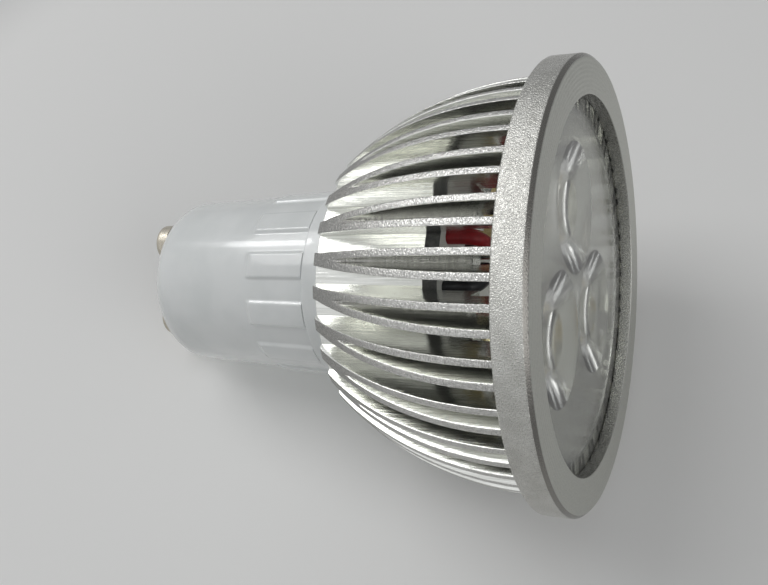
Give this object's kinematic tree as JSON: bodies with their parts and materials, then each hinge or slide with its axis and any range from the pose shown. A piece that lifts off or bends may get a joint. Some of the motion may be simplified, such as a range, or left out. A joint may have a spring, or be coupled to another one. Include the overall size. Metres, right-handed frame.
{
  "type": "gu10 spotlight bulb",
  "caption": "LED spotlight bulb with a white twist-lock pin base, a bowl-shaped aluminium heat sink of forked fins, a front ring and a clear lens with collimators.",
  "frame": {"origin": "middle of the base's end face, between the contact pins", "axes": "+Z along the bulb's axis towards the light, +X from one contact pin to the other"},
  "size_m": [0.05, 0.05, 0.0587],
  "materials": {
    "ring_aluminium": "turned, satin with fine grooves",
    "clear_lens": "clear moulded",
    "sink_aluminium": "extruded sides, turned outside",
    "white_base": "glossy moulded",
    "pin_plate": "nickel plated",
    "white_board": "white solder mask on metal",
    "emitter_body": "moulded",
    "emitter_dome": "clear over yellow phosphor",
    "tinned_lead": "tinned",
    "screw_steel": "plated",
    "green_board": "green solder mask",
    "core_ferrite": "sintered",
    "coil_tape": "polyester tape",
    "can_sleeve": "shrink sleeve",
    "chip_black": "moulded epoxy",
    "fuse_green": "lacquered",
    "mains_insulation": "insulated wire",
    "red_insulation": "insulated wire",
    "black_insulation": "insulated wire"
  },
  "bodies": {
    "root": {"front_ring": "ring_aluminium", "lens": "clear_lens", "heat_sink": "sink_aluminium", "base_shell": "white_base", "contact_pin_a": "pin_plate", "contact_pin_b": "pin_plate", "led_board": "white_board", "led_body_1": "emitter_body", "led_body_2": "emitter_body", "led_body_3": "emitter_body", "led_dome_1": "emitter_dome", "led_dome_2": "emitter_dome", "led_dome_3": "emitter_dome", "led_leads": "tinned_lead", "board_screws": "screw_steel", "base_screws": "screw_steel", "driver_board": "green_board", "transformer_core": "core_ferrite", "transformer_coil": "coil_tape", "input_capacitor": "can_sleeve", "output_capacitor": "can_sleeve", "bridge_rectifier": "chip_black", "controller_chip": "chip_black", "output_diode": "chip_black", "fuse_resistor": "fuse_green", "live_wire": "mains_insulation", "neutral_wire": "mains_insulation", "red_wire": "red_insulation", "black_wire": "black_insulation"}
  },
  "joints": []
}
